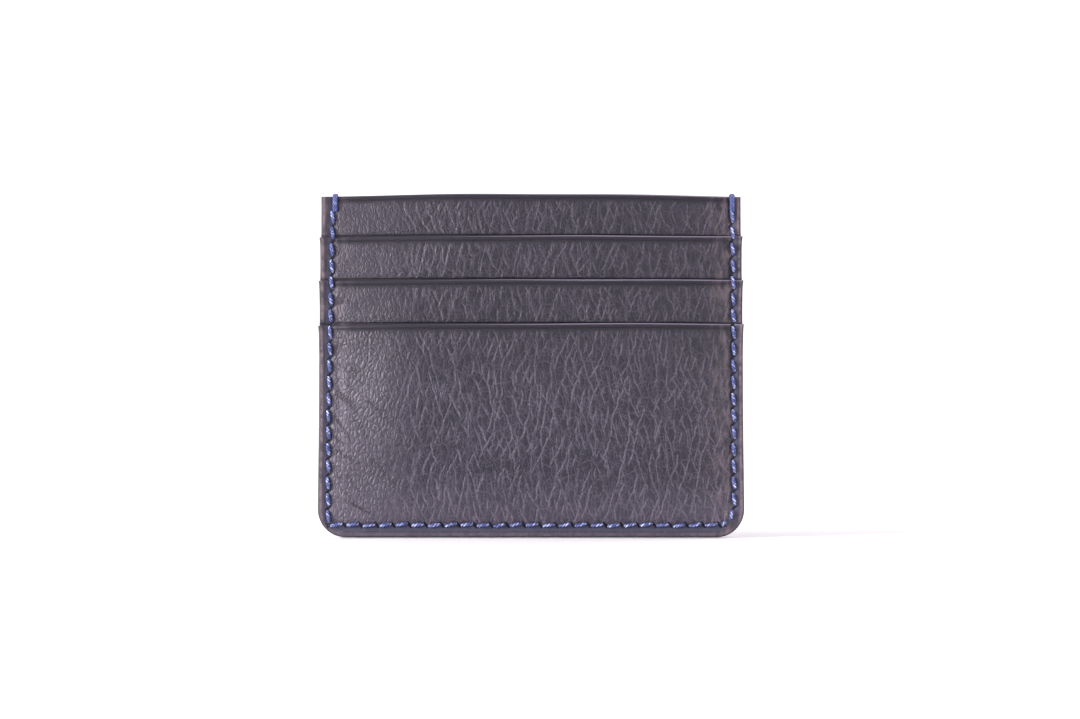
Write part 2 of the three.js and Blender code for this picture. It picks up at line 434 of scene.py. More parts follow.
def outline_distance(layer, x, z):
    """Distance inwards from the outline's sides, its mouth and its rounded bottom corners."""
    side = HALF_WIDTH - np.abs(x)
    distance = np.minimum(side, layer.mouth - z)
    if layer.foot == 0.0:
        cx = np.abs(x) - (HALF_WIDTH - CORNER_RADIUS)
        cz = CORNER_RADIUS - z
        corner = CORNER_RADIUS - np.hypot(np.maximum(cx, 0.0), np.maximum(cz, 0.0))
        distance = np.minimum(distance, np.where((cx > 0) & (cz > 0), corner, np.minimum(side, z)))
    return np.maximum(distance, 0.0)


def rounding(distance, radius):
    """How far a rounded edge falls back at this distance from it."""
    t = np.clip(1.0 - distance / radius, 0.0, 1.0)
    return radius * (1.0 - np.sqrt(1.0 - t * t))


def next_mouth(layer):
    """Mouth of the sheet that covers this one from the outside."""
    index = LAYERS.index(layer)
    return LAYERS[index + 1].mouth if index + 1 < len(LAYERS) else -10.0


def place(layer, side, x, z):
    """Small departures from the drawn outline: bowed mouths, and edges that flare at them."""
    below = layer.mouth - z
    near = 1.0 - smooth(below, 0.0, 12.0)
    bow = -(POCKET_BOW if layer.is_pocket else TOP_BOW) * (x / HALF_WIDTH) ** 2
    ripple = 0.05 * np.sin(x / 7.3 + layer.mouth + side)
    new_z = z + near * (bow + ripple - side * layer.tilt * x / HALF_WIDTH)
    flare = 0.24 * np.exp(-np.maximum(below, 0.0) / 1.6) if layer.is_pocket else 0.0
    widen = 0.2 * (1.0 - smooth(z, 4.0, 30.0))
    out = -layer.trim + flare + widen
    new_x = x + np.sign(x) * out * smooth(np.abs(x), 44.0, HALF_WIDTH)
    return new_x, new_z


def covered_cells(layer, xs, zs):
    """Which cells of the lattice the sheet covers: all of them, or the shape of the T."""
    gx, gz = np.meshgrid((xs[:-1] + xs[1:]) / 2, (zs[:-1] + zs[1:]) / 2)
    inside = (gz >= layer.foot) & (gz <= layer.mouth)
    if layer.is_t:
        inside &= (gz >= layer.bar) | (np.abs(gx) <= STEM_HALF_WIDTH)
    return inside


def quads_between(a, b, c, d, flip):
    """Quads from four arrays of corners, turned over if flip is set."""
    quads = np.stack([a, b, c, d], axis=-1).reshape(-1, 4)
    return quads[:, ::-1] if flip else quads


def sheet_faces(cells, flip):
    """Outer faces, inner faces and walls of a lattice sheet. Inner vertices follow the outer."""
    rows, cols = cells.shape
    index = np.arange((rows + 1) * (cols + 1)).reshape(rows + 1, cols + 1)
    below = index.size
    a, b = index[:-1, :-1][cells], index[:-1, 1:][cells]
    c, d = index[1:, 1:][cells], index[1:, :-1][cells]
    outer_faces = quads_between(a, b, c, d, flip)
    inner_faces = quads_between(a + below, d + below, c + below, b + below, flip)
    padded = np.pad(cells, 1)
    borders = (
        (cells & ~padded[:-2, 1:-1], (0, 0), (0, 1)),
        (cells & ~padded[2:, 1:-1], (1, 1), (1, 0)),
        (cells & ~padded[1:-1, :-2], (1, 0), (0, 0)),
        (cells & ~padded[1:-1, 2:], (0, 1), (1, 1)),
    )
    walls = []
    for mask, (row_0, col_0), (row_1, col_1) in borders:
        row, col = np.nonzero(mask)
        p = index[row + row_0, col + col_0]
        q = index[row + row_1, col + col_1]
        walls.append(quads_between(q, p, p + below, q + below, flip))
    return outer_faces, inner_faces, np.concatenate(walls)


def make_mesh(name, vertices, faces, material_index, materials, attributes):
    """A smooth-shaded mesh object from vertex and face arrays, with unused vertices dropped."""
    used = np.zeros(len(vertices), bool)
    used[faces.ravel()] = True
    renumber = np.cumsum(used) - 1
    vertices, faces = vertices[used], renumber[faces]
    mesh = bpy.data.meshes.new(name)
    mesh.vertices.add(len(vertices))
    mesh.vertices.foreach_set("co", (vertices * MM).astype(np.float32).ravel())
    sides = faces.shape[1]
    mesh.loops.add(faces.size)
    mesh.loops.foreach_set("vertex_index", faces.astype(np.int32).ravel())
    mesh.polygons.add(len(faces))
    mesh.polygons.foreach_set("loop_start", np.arange(0, faces.size, sides, dtype=np.int32))
    mesh.polygons.foreach_set("material_index", material_index.astype(np.int32))
    for material in materials:
        mesh.materials.append(material)
    mesh.update(calc_edges=True)
    mesh.validate()
    mesh.shade_smooth()
    for key, values in attributes.items():
        attribute = mesh.attributes.new(key, "FLOAT", "POINT")
        attribute.data.foreach_set("value", values[used].astype(np.float32))
    return linked(name, mesh)


def row_places(layer, step):
    """Rows up a sheet: fine at its mouth and foot, coarse where another sheet covers it."""
    cover = next_mouth(layer)
    show_from = max(layer.foot, cover - 1.2)
    rows = []
    if layer.foot == 0.0:
        rows += spaced(0.0, CORNER_TOP, 0.3, EDGE_FINE)
        if show_from < CORNER_TOP:
            rows += spaced(CORNER_TOP, layer.mouth, step, (), MOUTH_FINE)[1:]
            return np.array(rows)
        rows += spaced(CORNER_TOP, show_from, HIDDEN_STEP)[1:]
    else:
        rows += spaced(layer.foot, layer.bar, HIDDEN_STEP)
        rows += spaced(layer.bar, show_from, HIDDEN_STEP)[1:]
    rows += spaced(show_from, layer.mouth, step, (), MOUTH_FINE)[1:]
    return np.array(rows)


def squeezed(gx, gz):
    """Heights of the lattice, with the lowest rows squeezed into the rounded corners."""
    low = bottom_edge(gx)
    return np.where(gz < CORNER_TOP, low + (CORNER_TOP - low) * gz / CORNER_TOP, gz)


def skins(side, x, z, outer, inner):
    """Vertices of a sheet's outer face and then those of its inner face."""
    outside = np.stack([x, side * outer, z], axis=-1).reshape(-1, 3)
    within = np.stack([x, side * inner, z], axis=-1).reshape(-1, 3)
    return np.concatenate([outside, within])


def on_both(values):
    """The same values for the outer face's vertices and the inner face's."""
    return np.tile(values.ravel(), 2)


def on_outer(values, rest=0.0):
    """Values for the outer face's vertices, and one plain value for all the inner ones."""
    return np.concatenate([values.ravel(), np.full(values.size, rest)])


def leather_sheet(label, side, layer, materials, strokes, step):
    """One leather panel or pocket, grain side out. The back is drawn as the front's mirror."""
    xs = column_places(step)
    zs = row_places(layer, step)
    gx, gz = np.meshgrid(xs, zs)
    front_x = -side * gx
    z = squeezed(gx, gz) if layer.foot == 0.0 else gz
    inner, outer = stack_depths(gx, z)[layer.name]
    edge = outline_distance(layer, gx, z)
    below_mouth = layer.mouth - z
    side_distance = outline_distance(layer, gx, np.minimum(z, layer.mouth - HALF_WIDTH * 0.2))
    seam_along, seam_across = seam_place(front_x, z)
    cover = next_mouth(layer)
    shown = smooth(z, cover + 0.1, cover + 0.9)
    calm = smooth(below_mouth, 1.2, 2.1) * shown
    grain = calm * (0.3 + 0.7 * smooth(side_distance, 2.6, 3.8))

    seed = side + int(layer.mouth)
    fields = [crease_fields(gx, z, family, 10 * k + seed) for k, family in enumerate(FAMILIES)]
    from_left = smooth(front_x + 4.0 * wave_noise(gx, z, 9, 14.0), -41.0, -22.0)
    creased = 1.0 - 0.8 * (1.0 - from_left)
    drawn = crease_depth(front_x, z, strokes)
    lip_swell = 0.05 * np.exp(-((below_mouth - 0.5) / 0.3) ** 2)
    scored = np.exp(-((below_mouth - 0.97) / 0.12) ** 2)
    scored = scored * smooth(HALF_WIDTH - np.abs(gx), 1.5, 6.0)
    valleys = 0.06 * crease_valley(fields, 0.7) * grain * creased
    undulation = 0.06 * wave_noise(gx, z, 11 + seed, 17.0)
    undulation = undulation * calm * smooth(edge, 3.0, 9.0)
    dish = 0.26 * np.exp(-((seam_distance(front_x, z) / 0.95) ** 2)) * shown
    relief = lip_swell - valleys - 0.13 * scored - 0.12 * drawn * calm + undulation
    relief = relief * shown - dish - HOLE_DROP * (hole_mask(front_x, z) * shown)
    outer = outer + relief - rounding(edge, 0.42) * (0.35 + 0.65 * shown)
    outer = np.maximum(outer, inner + THINNEST)
    inner = inner + rounding(edge, 0.1)

    attributes = {
        "mouth_mm": on_both(below_mouth),
        "side_mm": on_both(side_distance),
        "above_mm": on_both(z - cover),
        "height_mm": on_both(z),
        "seam_along": on_both(seam_along),
        "seam_across": on_outer(seam_across, OFF_SEAM),
        "drawn": on_outer(drawn * calm),
        "grain": on_outer(grain),
        "creased": on_outer(creased),
    }
    for k, (number, pitch, power) in enumerate(fields):
        attributes[f"crease_{k}"] = on_both(number)
        attributes[f"pitch_{k}"] = on_both(pitch)
        attributes[f"power_{k}"] = on_outer(power)
    outer_faces, inner_faces, walls = sheet_faces(covered_cells(layer, xs, zs), side > 0)
    groups = (outer_faces, walls, inner_faces)
    kinds = np.concatenate([np.full(len(group), kind) for kind, group in enumerate(groups)])
    vertices = skins(side, *place(layer, side, gx, z), outer, inner)
    name = f"{label}_{layer.name}_leather"
    piece = make_mesh(name, vertices, np.concatenate(groups), kinds, materials, attributes)
    return finish_piece(piece, f"{label}_{layer.name}")


def lining_sheet(label, side, layer, material):
    """The cloth glued inside the centre pocket, which ends a little below the leather's edge."""
    xs = np.array(spaced(-HALF_WIDTH, HALF_WIDTH, LINING_STEP, EDGE_FINE, EDGE_FINE))
    zs = np.array(spaced(0.0, layer.mouth, LINING_STEP, EDGE_FINE, EDGE_FINE))
    gx, gz = np.meshgrid(xs, zs)
    z = squeezed(gx, gz)
    inner, outer = stack_depths(gx, z)[layer.name]
    px, pz = place(layer, side, gx, z)
    pz = pz - 0.35 * (1.0 - smooth(layer.mouth - z, 0.0, 3.0))
    faces = np.concatenate(sheet_faces(covered_cells(layer, xs, zs), side > 0))
    kinds = np.zeros(len(faces))
    vertices = skins(side, px, pz, outer, inner)
    piece = make_mesh(f"{label}_lining_cloth", vertices, faces, kinds, [material], {})
    finish_piece(piece, f"{label}_lining")
    return piece


def finish_piece(piece, node):
    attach(piece, "root")
    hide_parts(node)
    return piece


# ---- node helper ----

class Graph:
    """Short calls for building a node tree. Inputs are sockets or plain values."""

    def __init__(self, tree):
        self.tree = tree

    def node(self, kind, inputs=(), **settings):
        """A new node. Inputs are listed in order, or given by their number or name."""
        made = self.tree.nodes.new(kind)
        for key, value in settings.items():
            setattr(made, key, value)
        pairs = inputs.items() if isinstance(inputs, dict) else enumerate(inputs)
        for key, value in pairs:
            self.plug(made, key, value)
        return made

    def plug(self, made, key, value):
        if isinstance(key, str):
            socket = next(s for s in made.inputs if s.name.lower() == key.lower() and s.enabled)
        else:
            socket = made.inputs[key]
        if isinstance(value, bpy.types.NodeSocket):
            self.tree.links.new(value, socket)
        else:
            socket.default_value = value

    def math(self, operation, a, b=0.0):
        return self.node("ShaderNodeMath", (a, b), operation=operation).outputs[0]

    def times(self, first, *others):
        for other in others:
            first = self.math("MULTIPLY", first, other)
        return first

    def plus(self, first, *others):
        for other in others:
            first = self.math("ADD", first, other)
        return first

    def span(self, value, from_low, from_high, to_low=0.0, to_high=1.0):
        """A soft step from to_low to to_high as value goes from from_low to from_high."""
        inputs = (value, from_low, from_high, to_low, to_high)
        made = self.node("ShaderNodeMapRange", inputs, interpolation_type="SMOOTHSTEP", clamp=True)
        return made.outputs[0]

    def band(self, value, off_low, on_low, on_high, off_high):
        """1 between on_low and on_high, falling softly to 0 on either side."""
        return self.times(self.span(value, off_low, on_low), self.span(value, off_high, on_high))

    def mix(self, factor, a, b):
        """Colour a where factor is 0 and colour b where it is 1."""
        return self.node("ShaderNodeMix", {0: factor, 6: a, 7: b}, data_type="RGBA").outputs[2]

    def lerp(self, factor, a, b):
        """Value a where factor is 0 and value b where it is 1."""
        return self.plus(self.times(a, self.math("SUBTRACT", 1.0, factor)), self.times(b, factor))

    def noise(self, vector, scale, detail=2.0, roughness=0.5, output="Fac"):
        inputs = {"Vector": vector, "Scale": scale, "Detail": detail, "Roughness": roughness}
        return self.node("ShaderNodeTexNoise", inputs, noise_dimensions="3D").outputs[output]

    def edges(self, vector, across, along, randomness):
        """Distance to the border of the cell, in a net of cells of this size."""
        inputs = {"Vector": self.stretch(vector, across, along), "Scale": 1.0, "Randomness": randomness}
        made = self.node("ShaderNodeTexVoronoi", inputs, feature="DISTANCE_TO_EDGE",
                         voronoi_dimensions="2D")
        return made.outputs["Distance"]

    def attribute(self, name):
        return self.node("ShaderNodeAttribute", attribute_name=name).outputs["Fac"]

    def position(self):
        return self.node("ShaderNodeTexCoord").outputs["Object"]

    def split(self, vector):
        return self.node("ShaderNodeSeparateXYZ", (vector,)).outputs

    def vector_math(self, operation, inputs):
        return self.node("ShaderNodeVectorMath", inputs, operation=operation).outputs[0]

    def stretch(self, vector, across, along):
        """Coordinates in which a pattern is this wide and this tall."""
        return self.vector_math("MULTIPLY", (vector, (1 / across, 1 / along, 1.0)))

    def warp(self, vector, scale, amount):
        """Coordinates pushed about by a soft noise."""
        noise = self.noise(vector, scale, 2.0, 0.55, "Color")
        centred = self.vector_math("SUBTRACT", (noise, (0.5, 0.5, 0.5)))
        push = self.vector_math("SCALE", {0: centred, "Scale": amount})
        return self.vector_math("ADD", (vector, push))


def srgb(r, g, b):
    """A colour given as screen values from 0 to 255, as the linear values that a shader takes."""
    values = [c / 255 for c in (r, g, b)]
    linear = [c / 12.92 if c <= 0.04045 else ((c + 0.055) / 1.055) ** 2.4 for c in values]
    return (*linear, 1.0)


def flat_millimetres(graph):
    """Place on a sheet as (x, z) in mm, with the back shifted to a grain of its own, and x."""
    x, y, z = graph.split(graph.position())
    x_mm = graph.times(x, 1 / MM)
    shift = graph.times(graph.math("GREATER_THAN", y, 0.0), BACK_SHIFT)
    joined = graph.node("ShaderNodeCombineXYZ", (graph.plus(x_mm, shift), graph.times(z, 1 / MM)))
    return joined.outputs[0], x_mm


def crease_lines(graph, kinks, wide, narrow):
    """1 on a crease line and 0 beside it, from the numbered creases that the mesh carries."""
    found = None
    for k in range(len(FAMILIES)):
        number = graph.plus(graph.attribute(f"crease_{k}"), kinks)
        apart = graph.math("ABSOLUTE", graph.math("SUBTRACT", number, graph.math("ROUND", number)))
        distance = graph.times(apart, graph.attribute(f"pitch_{k}"))
        line = graph.times(graph.span(distance, wide, narrow), graph.attribute(f"power_{k}"))
        found = graph.math("MAXIMUM", found, line) if found else line
    return found


# ---- materials ----

LEATHER_DEEP = srgb(25, 22, 35)
LEATHER_LIGHT = srgb(33, 29, 43)
LEATHER_CLOUD = srgb(22, 20, 32)
LEATHER_LINE_AND_HIGHLIGHT = srgb(118, 110, 126)
LEATHER_TAN_AND_HIGHLIGHT = srgb(122, 106, 111)
LEATHER_DARK_AND_SHADE = srgb(20, 18, 26)
LEATHER_BLUE = srgb(54, 55, 76)
EDGE_PAINT = srgb(27, 24, 31)
SLIT_SHADE = srgb(10, 12, 30)
THREAD_SHADE = srgb(9, 12, 34)
THREAD_BLUE = srgb(52, 64, 116)
THREAD_HIGHLIGHT = srgb(190, 198, 236)

BACK_SHIFT = 137.0
LEATHER_BUMP = 0.17 * MM
LEATHER_SPECULAR = 0.37
CLOTH_PITCH = 0.28 * MM


def new_material(name):
    material = bpy.data.materials.new(name)
    material.use_nodes = True
    tree = material.node_tree
    tree.nodes.clear()
    graph = Graph(tree)
    shader = graph.node("ShaderNodeBsdfPrincipled")
    graph.node("ShaderNodeOutputMaterial", (shader.outputs[0],))
    return material, graph, shader


def bumped(graph, shader, height, distance):
    inputs = {"Strength": 1.0, "Distance": distance, "Height": height}
    graph.plug(shader, "Normal", graph.node("ShaderNodeBump", inputs).outputs[0])


class LeatherLook:
    """Colour and fine relief of the grain side. Both start from the same nets of lines."""

    def __init__(self, graph):
        self.graph = graph
        self.flat, self.x = flat_millimetres(graph)
        self.height = graph.attribute("height_mm")
        self.above = graph.attribute("above_mm")
        self.grain = graph.attribute("grain")
        self.drawn = graph.attribute("drawn")
        self.long_share = graph.attribute("creased")
        self.round_share = graph.math("SUBTRACT", 1.0, self.long_share)
        self.slit = slit_mask(graph)
        gently = graph.warp(self.flat, 0.16, 3.0)
        self.small = graph.edges(graph.warp(gently, 0.8, 0.6), 1.05, 1.55, 0.95)
        self.fine = graph.edges(gently, 0.55, 0.9, 1.0)
        self.cells = graph.edges(gently, 1.5, 3.6, 0.95)
        self.kinks = graph.span(graph.noise(self.flat, 0.7, 2.0, 0.5), 0.25, 0.75, -0.07, 0.07)

    def grain_colour(self):
        """A mottled tone with pale creases, and dark lines between the round pebbles."""
        graph = self.graph
        mottled = graph.span(graph.noise(self.flat, 0.05, 3.0, 0.55), 0.3, 0.7)
        cloudy = graph.span(graph.noise(self.flat, 0.9, 3.0, 0.65), 0.3, 0.7, 0.0, 0.7)
        broken = graph.span(graph.noise(self.flat, 1.6, 3.0, 0.6), 0.37, 0.6, 0.4, 1.0)
        faint = graph.span(graph.noise(self.flat, 0.45, 2.0), 0.38, 0.66, 0.06, 0.42)
        tall_line = graph.times(crease_lines(graph, self.kinks, 0.3, 0.02), broken, 0.95)
        cell_line = graph.times(graph.span(self.cells, 0.1, 0.01), broken, 0.36)
        tall_line = graph.math("MAXIMUM", tall_line, cell_line)
        fine_line = graph.times(graph.span(self.fine, 0.16, 0.02), faint)
        pale_line = graph.math("MAXIMUM", graph.times(tall_line, self.long_share), fine_line)
        small_line = graph.times(graph.span(self.small, 0.2, 0.03), broken, self.round_share)
        base = graph.mix(mottled, LEATHER_DEEP, LEATHER_LIGHT)
        base = graph.mix(cloudy, base, LEATHER_CLOUD)
        base = graph.mix(graph.times(pale_line, self.grain, 0.6), base, LEATHER_LINE_AND_HIGHLIGHT)
        return graph.mix(graph.times(small_line, self.grain, 0.85), base, LEATHER_DARK_AND_SHADE)

    def zone_colour(self, base):
        """Painted highlight to the left and low down, painted shade higher up, and tan beside the side
        seams.
        """
        graph = self.graph
        # Painted highlight: lighter towards the left side of the holder.
        painted_left_highlight = graph.times(graph.span(self.x, -22.0, -46.0, 0.0, 0.21), self.grain)
        base = graph.mix(painted_left_highlight, base, LEATHER_LINE_AND_HIGHLIGHT)
        # Painted highlight: lighter low down.
        base = graph.mix(graph.span(self.height, 16.0, 4.0, 0.0, 0.12), base, LEATHER_LINE_AND_HIGHLIGHT)
        # Painted shade: darker higher up.
        base = graph.mix(graph.span(self.height, 26.0, 52.0, 0.0, 0.4), base, LEATHER_DARK_AND_SHADE)
        streaks = graph.noise(graph.stretch(self.flat, 1.6, 5.0), 1.0, 3.0, 0.6)
        right = graph.span(self.x, 39.0, 46.5, 0.0, 0.32)
        left = graph.span(self.x, -39.0, -46.5, 0.0, 0.16)
        tan = graph.times(graph.span(streaks, 0.4, 0.65), graph.plus(right, left))
        return graph.mix(tan, base, LEATHER_TAN_AND_HIGHLIGHT)

    def edge_colour(self, base):
        """A blue gutter outside the seam and a rubbed bevel with a painted highlight, then the rim of
        edge paint, painted shade above a covering mouth, and slits painted as the shade of the awl
        holes.
        """
        graph = self.graph
        side = graph.attribute("side_mm")
        gutter = graph.band(graph.attribute("seam_across"), -1.5, -1.15, -0.55, -0.3)
        base = graph.mix(graph.times(gutter, 0.75), base, LEATHER_BLUE)
        # Light strip on the rounded bevel: rub wear in patches, and a painted highlight of the edge.
        patchy = graph.span(graph.noise(self.flat, 0.45, 3.0, 0.6), 0.35, 0.62, 0.1, 0.62)
        upright = graph.span(self.height, 3.0, 9.0, 0.35, 1.0)
        bevel = graph.times(graph.band(side, 0.3, 0.45, 0.8, 1.15), patchy, upright)
        base = graph.mix(bevel, base, LEATHER_TAN_AND_HIGHLIGHT)
        base = self.mouth_colour(base, side)
        base = graph.mix(graph.times(graph.span(side, 0.34, 0.2), 0.9), base, EDGE_PAINT)
        # Painted shade on this sheet just above the mouth of the sheet that covers it.
        base = graph.mix(graph.span(self.above, 0.55, 0.1, 0.0, 0.8), base, LEATHER_DARK_AND_SHADE)
        base = graph.mix(self.drawn, base, LEATHER_DARK_AND_SHADE)
        # Painted shade of the awl holes, coloured into the slits.
        return graph.mix(self.slit, base, SLIT_SHADE)

    def mouth_colour(self, base, side):
        """A painted highlight on the lip of each mouth, and two scored lines with a painted shade below
        them.
        """
        graph = self.graph
        mouth = graph.attribute("mouth_mm")
        to_right = graph.span(self.x, -30.0, 20.0, 0.12, 0.9)
        # Painted highlight along the rounded lip of the mouth, stronger towards the right.
        lip = graph.times(graph.band(mouth, 0.0, 0.08, 0.2, 0.36), to_right)
        base = graph.mix(lip, base, LEATHER_LINE_AND_HIGHLIGHT)
        upper = graph.band(mouth, 0.66, 0.76, 0.84, 0.96)
        second = graph.band(mouth, 1.05, 1.17, 1.26, 1.42)
        shade = graph.times(graph.band(mouth, 1.1, 1.35, 1.7, 2.5), 0.35)
        groove = graph.math("MAXIMUM", graph.math("MAXIMUM", upper, second), shade)
        inside = graph.span(side, 3.5, 9.0, 0.2, 0.8)
        return graph.mix(graph.times(groove, inside), base, LEATHER_DARK_AND_SHADE)

    def relief(self):
        """Height of the creases, pebbles and pores, and of the wrinkles above a pocket's mouth."""
        graph = self.graph
        valley = graph.times(crease_lines(graph, self.kinks, 0.45, 0.0), self.long_share, -0.3)
        long_pebble = graph.times(graph.span(self.cells, 0.0, 0.3), self.long_share, 0.3)
        soften = graph.span(self.height, 44.0, 54.0, 0.8, 0.4)
        round_pebble = graph.times(graph.span(self.small, 0.0, 0.3), self.round_share, soften)
        crackle = graph.times(graph.span(self.fine, 0.0, 0.4), 0.16)
        grain = graph.times(graph.plus(valley, long_pebble, round_pebble, crackle), self.grain)
        pores = graph.times(graph.noise(self.flat, 5.5, 3.0, 0.65), 0.2)
        squiggle = graph.noise(graph.stretch(self.flat, 1.5, 0.45), 1.0, 2.0)
        wrinkle = graph.times(squiggle, graph.band(self.above, 0.1, 0.5, 0.8, 3.2), 1.8)
        cuts = graph.plus(graph.times(self.slit, -1.5), graph.times(self.drawn, -0.8))
        return graph.plus(grain, pores, wrinkle, cuts)

    def roughness(self):
        graph = self.graph
        polish = graph.span(graph.noise(self.flat, 0.5, 3.0, 0.6), 0.3, 0.7, 0.37, 0.5)
        matt = graph.math("MAXIMUM", self.drawn, self.slit)
        return graph.plus(polish, graph.times(matt, 0.35))


def leather_material():
    material, graph, shader = new_material("pebbled_leather")
    look = LeatherLook(graph)
    graph.plug(shader, "Base Color", look.edge_colour(look.zone_colour(look.grain_colour())))
    graph.plug(shader, "Roughness", look.roughness())
    shader.inputs["Specular IOR Level"].default_value = LEATHER_SPECULAR
    bumped(graph, shader, look.relief(), LEATHER_BUMP)
    return material


def slit_mask(graph):
    """The slanted awl slits between the stitches, from the place along and across the seam."""
    stitches = graph.attribute("seam_along")
    across_seam = graph.attribute("seam_across")
    from_hole = graph.math("SUBTRACT", stitches, graph.math("ROUND", stitches))
    along_seam = graph.times(from_hole, STITCH_PITCH)
    across = graph.math("ABSOLUTE", graph.plus(along_seam, across_seam))
    along = graph.math("ABSOLUTE", graph.math("SUBTRACT", along_seam, across_seam))
    return graph.times(graph.span(across, 0.54, 0.32), graph.span(along, 1.3, 0.95))


def edge_paint_material():
    material, graph, shader = new_material("edge_paint")
    noise = graph.noise(graph.position(), 900.0, 3.0, 0.6)
    graph.plug(shader, "Base Color", graph.mix(noise, EDGE_PAINT, srgb(48, 43, 50)))
    graph.plug(shader, "Roughness", graph.span(noise, 0.3, 0.7, 0.36, 0.55))
    bumped(graph, shader, noise, 0.05 * MM)
    return material


def flesh_material():
    """The rough inner side of the leather."""
    material, graph, shader = new_material("leather_flesh_side")
    position = graph.position()
    nap = graph.noise(position, 2600.0, 3.0, 0.7)
    cloud = graph.noise(position, 160.0, 3.0, 0.6)
    base = graph.mix(cloud, srgb(52, 48, 62), srgb(70, 65, 80))
    graph.plug(shader, "Base Color", graph.mix(graph.times(nap, 0.5), base, srgb(40, 37, 50)))
    graph.plug(shader, "Roughness", graph.span(nap, 0.2, 0.8, 0.8, 0.95))
    bumped(graph, shader, nap, 0.12 * MM)
    return material


def cloth_material():
    """Plain weave: two crossed sets of threads that pass over and under each other."""
    material, graph, shader = new_material("lining_weave")
    position = graph.position()
    x, _, z = graph.split(position)
    turn = math.pi / CLOTH_PITCH
    across = graph.math("SINE", graph.times(x, turn))
    along = graph.math("SINE", graph.times(z, turn))
    weft = graph.math("ABSOLUTE", along)
    warp = graph.math("ABSOLUTE", across)
    height = graph.lerp(graph.span(graph.times(across, along), -0.4, 0.4), weft, warp)
    slub = graph.noise(graph.stretch(position, 0.02, 0.001), 1.0, 2.0)
    # Painted shade and highlight: darker in the hollows of the weave and lighter on its raised threads.
    tone = graph.mix(height, srgb(24, 25, 40), srgb(54, 57, 88))
    graph.plug(shader, "Base Color", graph.mix(graph.times(slub, 0.35), tone, srgb(70, 73, 104)))
    graph.plug(shader, "Roughness", graph.span(height, 0.0, 1.0, 0.9, 0.7))
    shader.inputs["Sheen Weight"].default_value = 0.2
    bumped(graph, shader, height, 0.1 * MM)
    return material


def thread_material():
    """Waxed thread: painted shade between its plies, blue on them, with painted highlights in specks on
    the crowns.
    """
    material, graph, shader = new_material("waxed_thread")
    position = graph.position()
    crown = graph.attribute("crown")
    fibre = graph.noise(position, 3400.0, 3.0, 0.7)
    speck = graph.noise(position, 1500.0, 2.0, 0.6)
    # Painted light by the crown of each ply: shade low on its sides, and highlight specks on its top.
    highlight_flecks = graph.times(graph.span(crown, 0.35, 0.9), graph.span(speck, 0.38, 0.6))
    base = graph.mix(graph.span(crown, -0.9, 0.5), THREAD_SHADE, THREAD_BLUE)
    base = graph.mix(graph.times(highlight_flecks, graph.attribute("ply")), base, THREAD_HIGHLIGHT)
    graph.plug(shader, "Base Color", base)
    graph.plug(shader, "Roughness", graph.span(fibre, 0.2, 0.8, 0.45, 0.65))
    bumped(graph, shader, fibre, 0.06 * MM)
    return material


# ---- thread ----

PLIES = 3
PLY_SIDES = 6
# Half sizes of a thread are shared between how far out a ply lies and how thick it is.
PLY_OFFSET = 0.56
PLY_RADIUS = 0.5
STITCH_LIFT = 0.42
STITCH_PUSH = -0.26
HOLE_GAP = 0.5
ANY_PHASE = 6.28


def sweep(points, widths, heights, up, twist_pitch, phase, ply):
    """One ply of a twisted thread along points. widths and heights are the thread's half sizes."""
    tangents = np.gradient(points, axis=0)
    tangents /= np.linalg.norm(tangents, axis=1)[:, None]
    side = np.cross(tangents, up)
    side /= np.maximum(np.linalg.norm(side, axis=1), 1e-9)[:, None]
    lift = np.cross(side, tangents)
    lengths = np.linalg.norm(np.diff(points, axis=0), axis=1)
    run = np.concatenate([[0.0], np.cumsum(lengths)])
    angle = 2 * math.pi * (run / twist_pitch + ply / PLIES) + phase
    centre = points + side * (widths * PLY_OFFSET * np.cos(angle))[:, None]
    centre += lift * (heights * PLY_OFFSET * np.sin(angle))[:, None]
    rings, crowns = [], []
    for k in range(PLY_SIDES):
        a = 2 * math.pi * k / PLY_SIDES
        ring = centre + side * (widths * PLY_RADIUS * math.cos(a))[:, None]
        rings.append(ring + lift * (heights * PLY_RADIUS * math.sin(a))[:, None])
        height = PLY_OFFSET * np.sin(angle) + PLY_RADIUS * math.sin(a)
        crowns.append(height / (PLY_OFFSET + PLY_RADIUS))
    return np.stack(rings, axis=1), np.stack(crowns, axis=1)


def tube_faces(count, sides, start):
    """Quads of an open tube of rings, and the two rings of its caps as fans of quads."""
    index = start + np.arange(count * sides).reshape(count, sides)
    turned = np.roll(index, -1, axis=1)
    walls = np.stack([index[:-1], turned[:-1], turned[1:], index[1:]], axis=-1).reshape(-1, 4)
    caps = []
    for ring, flip in ((index[0], True), (index[-1], False)):
        for k in range(1, sides - 2, 2):
            quad = [ring[0], ring[k], ring[k + 1], ring[k + 2]]
            caps.append(quad[::-1] if flip else quad)
    return np.concatenate([walls, np.array(caps)])


class ThreadMesh:
    """All the plies of one thread, gathered into one mesh."""

    def __init__(self):
        self.vertices = []
        self.faces = []
        self.tone = []
        self.crown = []
        self.count = 0

    def add(self, swept, tone):
        rings, crowns = swept
        count, sides, _ = rings.shape
        self.crown.append(crowns.ravel())
        self.faces.append(tube_faces(count, sides, self.count))
        self.vertices.append(rings.reshape(-1, 3))
        self.tone.append(np.full(count * sides, tone))
        self.count += count * sides

    def object(self, name, material):
        vertices = np.concatenate(self.vertices)
        faces = np.concatenate(self.faces)
        attributes = {"ply": np.concatenate(self.tone), "crown": np.concatenate(self.crown)}
        return make_mesh(name, vertices, faces, np.zeros(len(faces)), [material], attributes)


def outer_depth(x, z):
    """Distance of the outermost leather from the mid-plane at one place."""
    depths = stack_depths(np.array([float(x)]), np.array([float(z)]))
    for layer in reversed(LAYERS[1:]):
        if z <= layer.mouth - 0.05:
            break
    return float(depths[layer.name][1][0])


